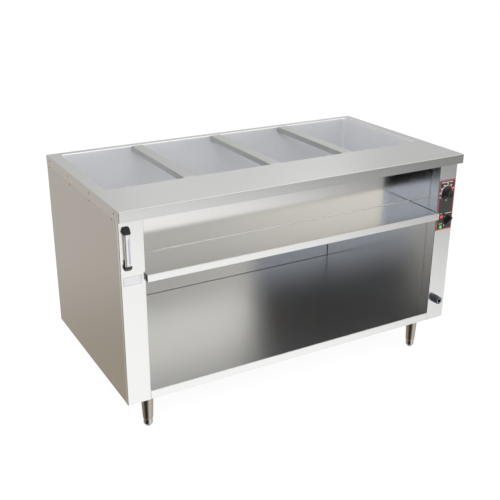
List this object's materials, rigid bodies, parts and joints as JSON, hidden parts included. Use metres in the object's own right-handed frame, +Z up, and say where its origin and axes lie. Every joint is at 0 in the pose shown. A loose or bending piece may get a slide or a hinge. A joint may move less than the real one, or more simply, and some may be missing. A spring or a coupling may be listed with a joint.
{
  "type": "hot food table",
  "caption": "Stainless hot food table: divided water tank with pan wells, plate niche, open storage shelf, level gauge, control panel and adjustable legs.",
  "frame": {"origin": "on the floor, under the centre of the bounding box", "axes": "+X to the right seen from the front, -Y towards the front, +Z up"},
  "size_m": [1.5012, 0.815, 0.9],
  "materials": {
    "worktop_steel": "brushed along the length",
    "bar_steel": "brushed along the length",
    "tank_steel": "satin, deep drawn",
    "front_steel": "brushed",
    "side_steel": "brushed, vertical grain",
    "liner_steel": "satin",
    "base_steel": "mill finish",
    "leg_steel": "polished tube",
    "foot_metal": "turned",
    "insulation": "mineral wool board",
    "element_metal": "heat tinted",
    "panel_face": "printed front foil on a plate",
    "knob_plastic": "fine texture",
    "spindle_metal": "turned",
    "case_plastic": "moulded",
    "capillary_copper": "drawn tube",
    "red_lens": "clear tinted lens",
    "green_lens": "clear tinted lens",
    "terminal_plastic": "moulded",
    "gland_plastic": "moulded",
    "seal_rubber": "soft",
    "gauge_plastic": "moulded",
    "guard_aluminium": "satin",
    "gauge_clear": "clear moulding",
    "thermometer_glass": "tinted column",
    "pipe_brass": "plain",
    "lever_coat": "dipped grip",
    "label_film": "blank metallised film",
    "rivet_metal": "plain"
  },
  "bodies": {
    "table": {"worktop": "worktop_steel", "tank": "tank_steel", "divider_seats": "tank_steel", "left_pilaster": "front_steel", "right_pilaster": "front_steel", "bottom_shelf": "front_steel", "mid_shelf": "front_steel", "left_side_panel": "side_steel", "right_side_panel": "side_steel", "back_panel": "side_steel", "left_inner_wall": "liner_steel", "right_inner_wall": "liner_steel", "niche_back_panel": "liner_steel", "inner_back_panel": "liner_steel", "leg_channel_left": "base_steel", "leg_channel_right": "base_steel", "floor_beam": "base_steel", "leg_front_left": "leg_steel", "leg_front_right": "leg_steel", "leg_rear_left": "leg_steel", "leg_rear_right": "leg_steel", "tank_insulation": "insulation", "heating_element_front": "element_metal", "heating_element_rear": "element_metal", "element_flanges": "element_metal", "element_clips": "element_metal", "control_panel": "panel_face", "thermostat_body": "case_plastic", "switch_body": "case_plastic", "thermostat_bulb": "capillary_copper", "red_lamp": "red_lens", "green_lamp": "green_lens", "terminal_block": "terminal_plastic", "gland_body": "gland_plastic", "gland_cap": "gland_plastic", "gland_locknut": "gland_plastic", "gland_seal": "seal_rubber", "gauge_upper_head": "gauge_plastic", "gauge_lower_head": "gauge_plastic", "gauge_guard": "guard_aluminium", "gauge_glass": "gauge_clear", "gauge_thermometer": "thermometer_glass", "gauge_pipes": "pipe_brass", "gauge_nuts": "pipe_brass", "drain_pipe": "pipe_brass", "drain_valve_body": "pipe_brass", "info_label": "label_film", "rivets": "rivet_metal"},
    "divider_bar_1": {"divider_bar_1": "bar_steel"},
    "divider_bar_2": {"divider_bar_2": "bar_steel"},
    "divider_bar_3": {"divider_bar_3": "bar_steel"},
    "thermostat_dial": {"thermostat_knob": "knob_plastic", "thermostat_spindle": "spindle_metal"},
    "rotary_switch": {"switch_knob": "knob_plastic", "switch_spindle": "spindle_metal"},
    "drain_lever": {"drain_valve_lever": "lever_coat"},
    "foot_front_left": {"foot_front_left": "foot_metal"},
    "foot_front_right": {"foot_front_right": "foot_metal"},
    "foot_rear_left": {"foot_rear_left": "foot_metal"},
    "foot_rear_right": {"foot_rear_right": "foot_metal"}
  },
  "joints": [
    {"name": "divider_lift_1", "type": "slide", "parent": "table", "child": "divider_bar_1", "axis": [0, 0, 1], "range_m": [0, 0.12]},
    {"name": "divider_lift_2", "type": "slide", "parent": "table", "child": "divider_bar_2", "axis": [0, 0, 1], "range_m": [0, 0.12]},
    {"name": "divider_lift_3", "type": "slide", "parent": "table", "child": "divider_bar_3", "axis": [0, 0, 1], "range_m": [0, 0.12]},
    {"name": "foot_screw_front_left", "type": "slide", "parent": "table", "child": "foot_front_left", "axis": [0, 0, -1], "range_m": [0, 0.04]},
    {"name": "foot_screw_front_right", "type": "slide", "parent": "table", "child": "foot_front_right", "axis": [0, 0, -1], "range_m": [0, 0.04]},
    {"name": "foot_screw_rear_left", "type": "slide", "parent": "table", "child": "foot_rear_left", "axis": [0, 0, -1], "range_m": [0, 0.04]},
    {"name": "foot_screw_rear_right", "type": "slide", "parent": "table", "child": "foot_rear_right", "axis": [0, 0, -1], "range_m": [0, 0.04]},
    {"name": "thermostat_turn", "type": "hinge", "parent": "table", "child": "thermostat_dial", "pos_m": [0.68965, -0.379, 0.7395], "axis": [0, 1, 0], "range_deg": [0, 240]},
    {"name": "switch_turn", "type": "hinge", "parent": "table", "child": "rotary_switch", "pos_m": [0.70515, -0.379, 0.622], "axis": [0, 1, 0], "range_deg": [0, 90]},
    {"name": "drain_lever_turn", "type": "hinge", "parent": "table", "child": "drain_lever", "pos_m": [0.50102, 0.12632, 0.624], "axis": [0, 1, 0], "range_deg": [0, 90]}
  ]
}
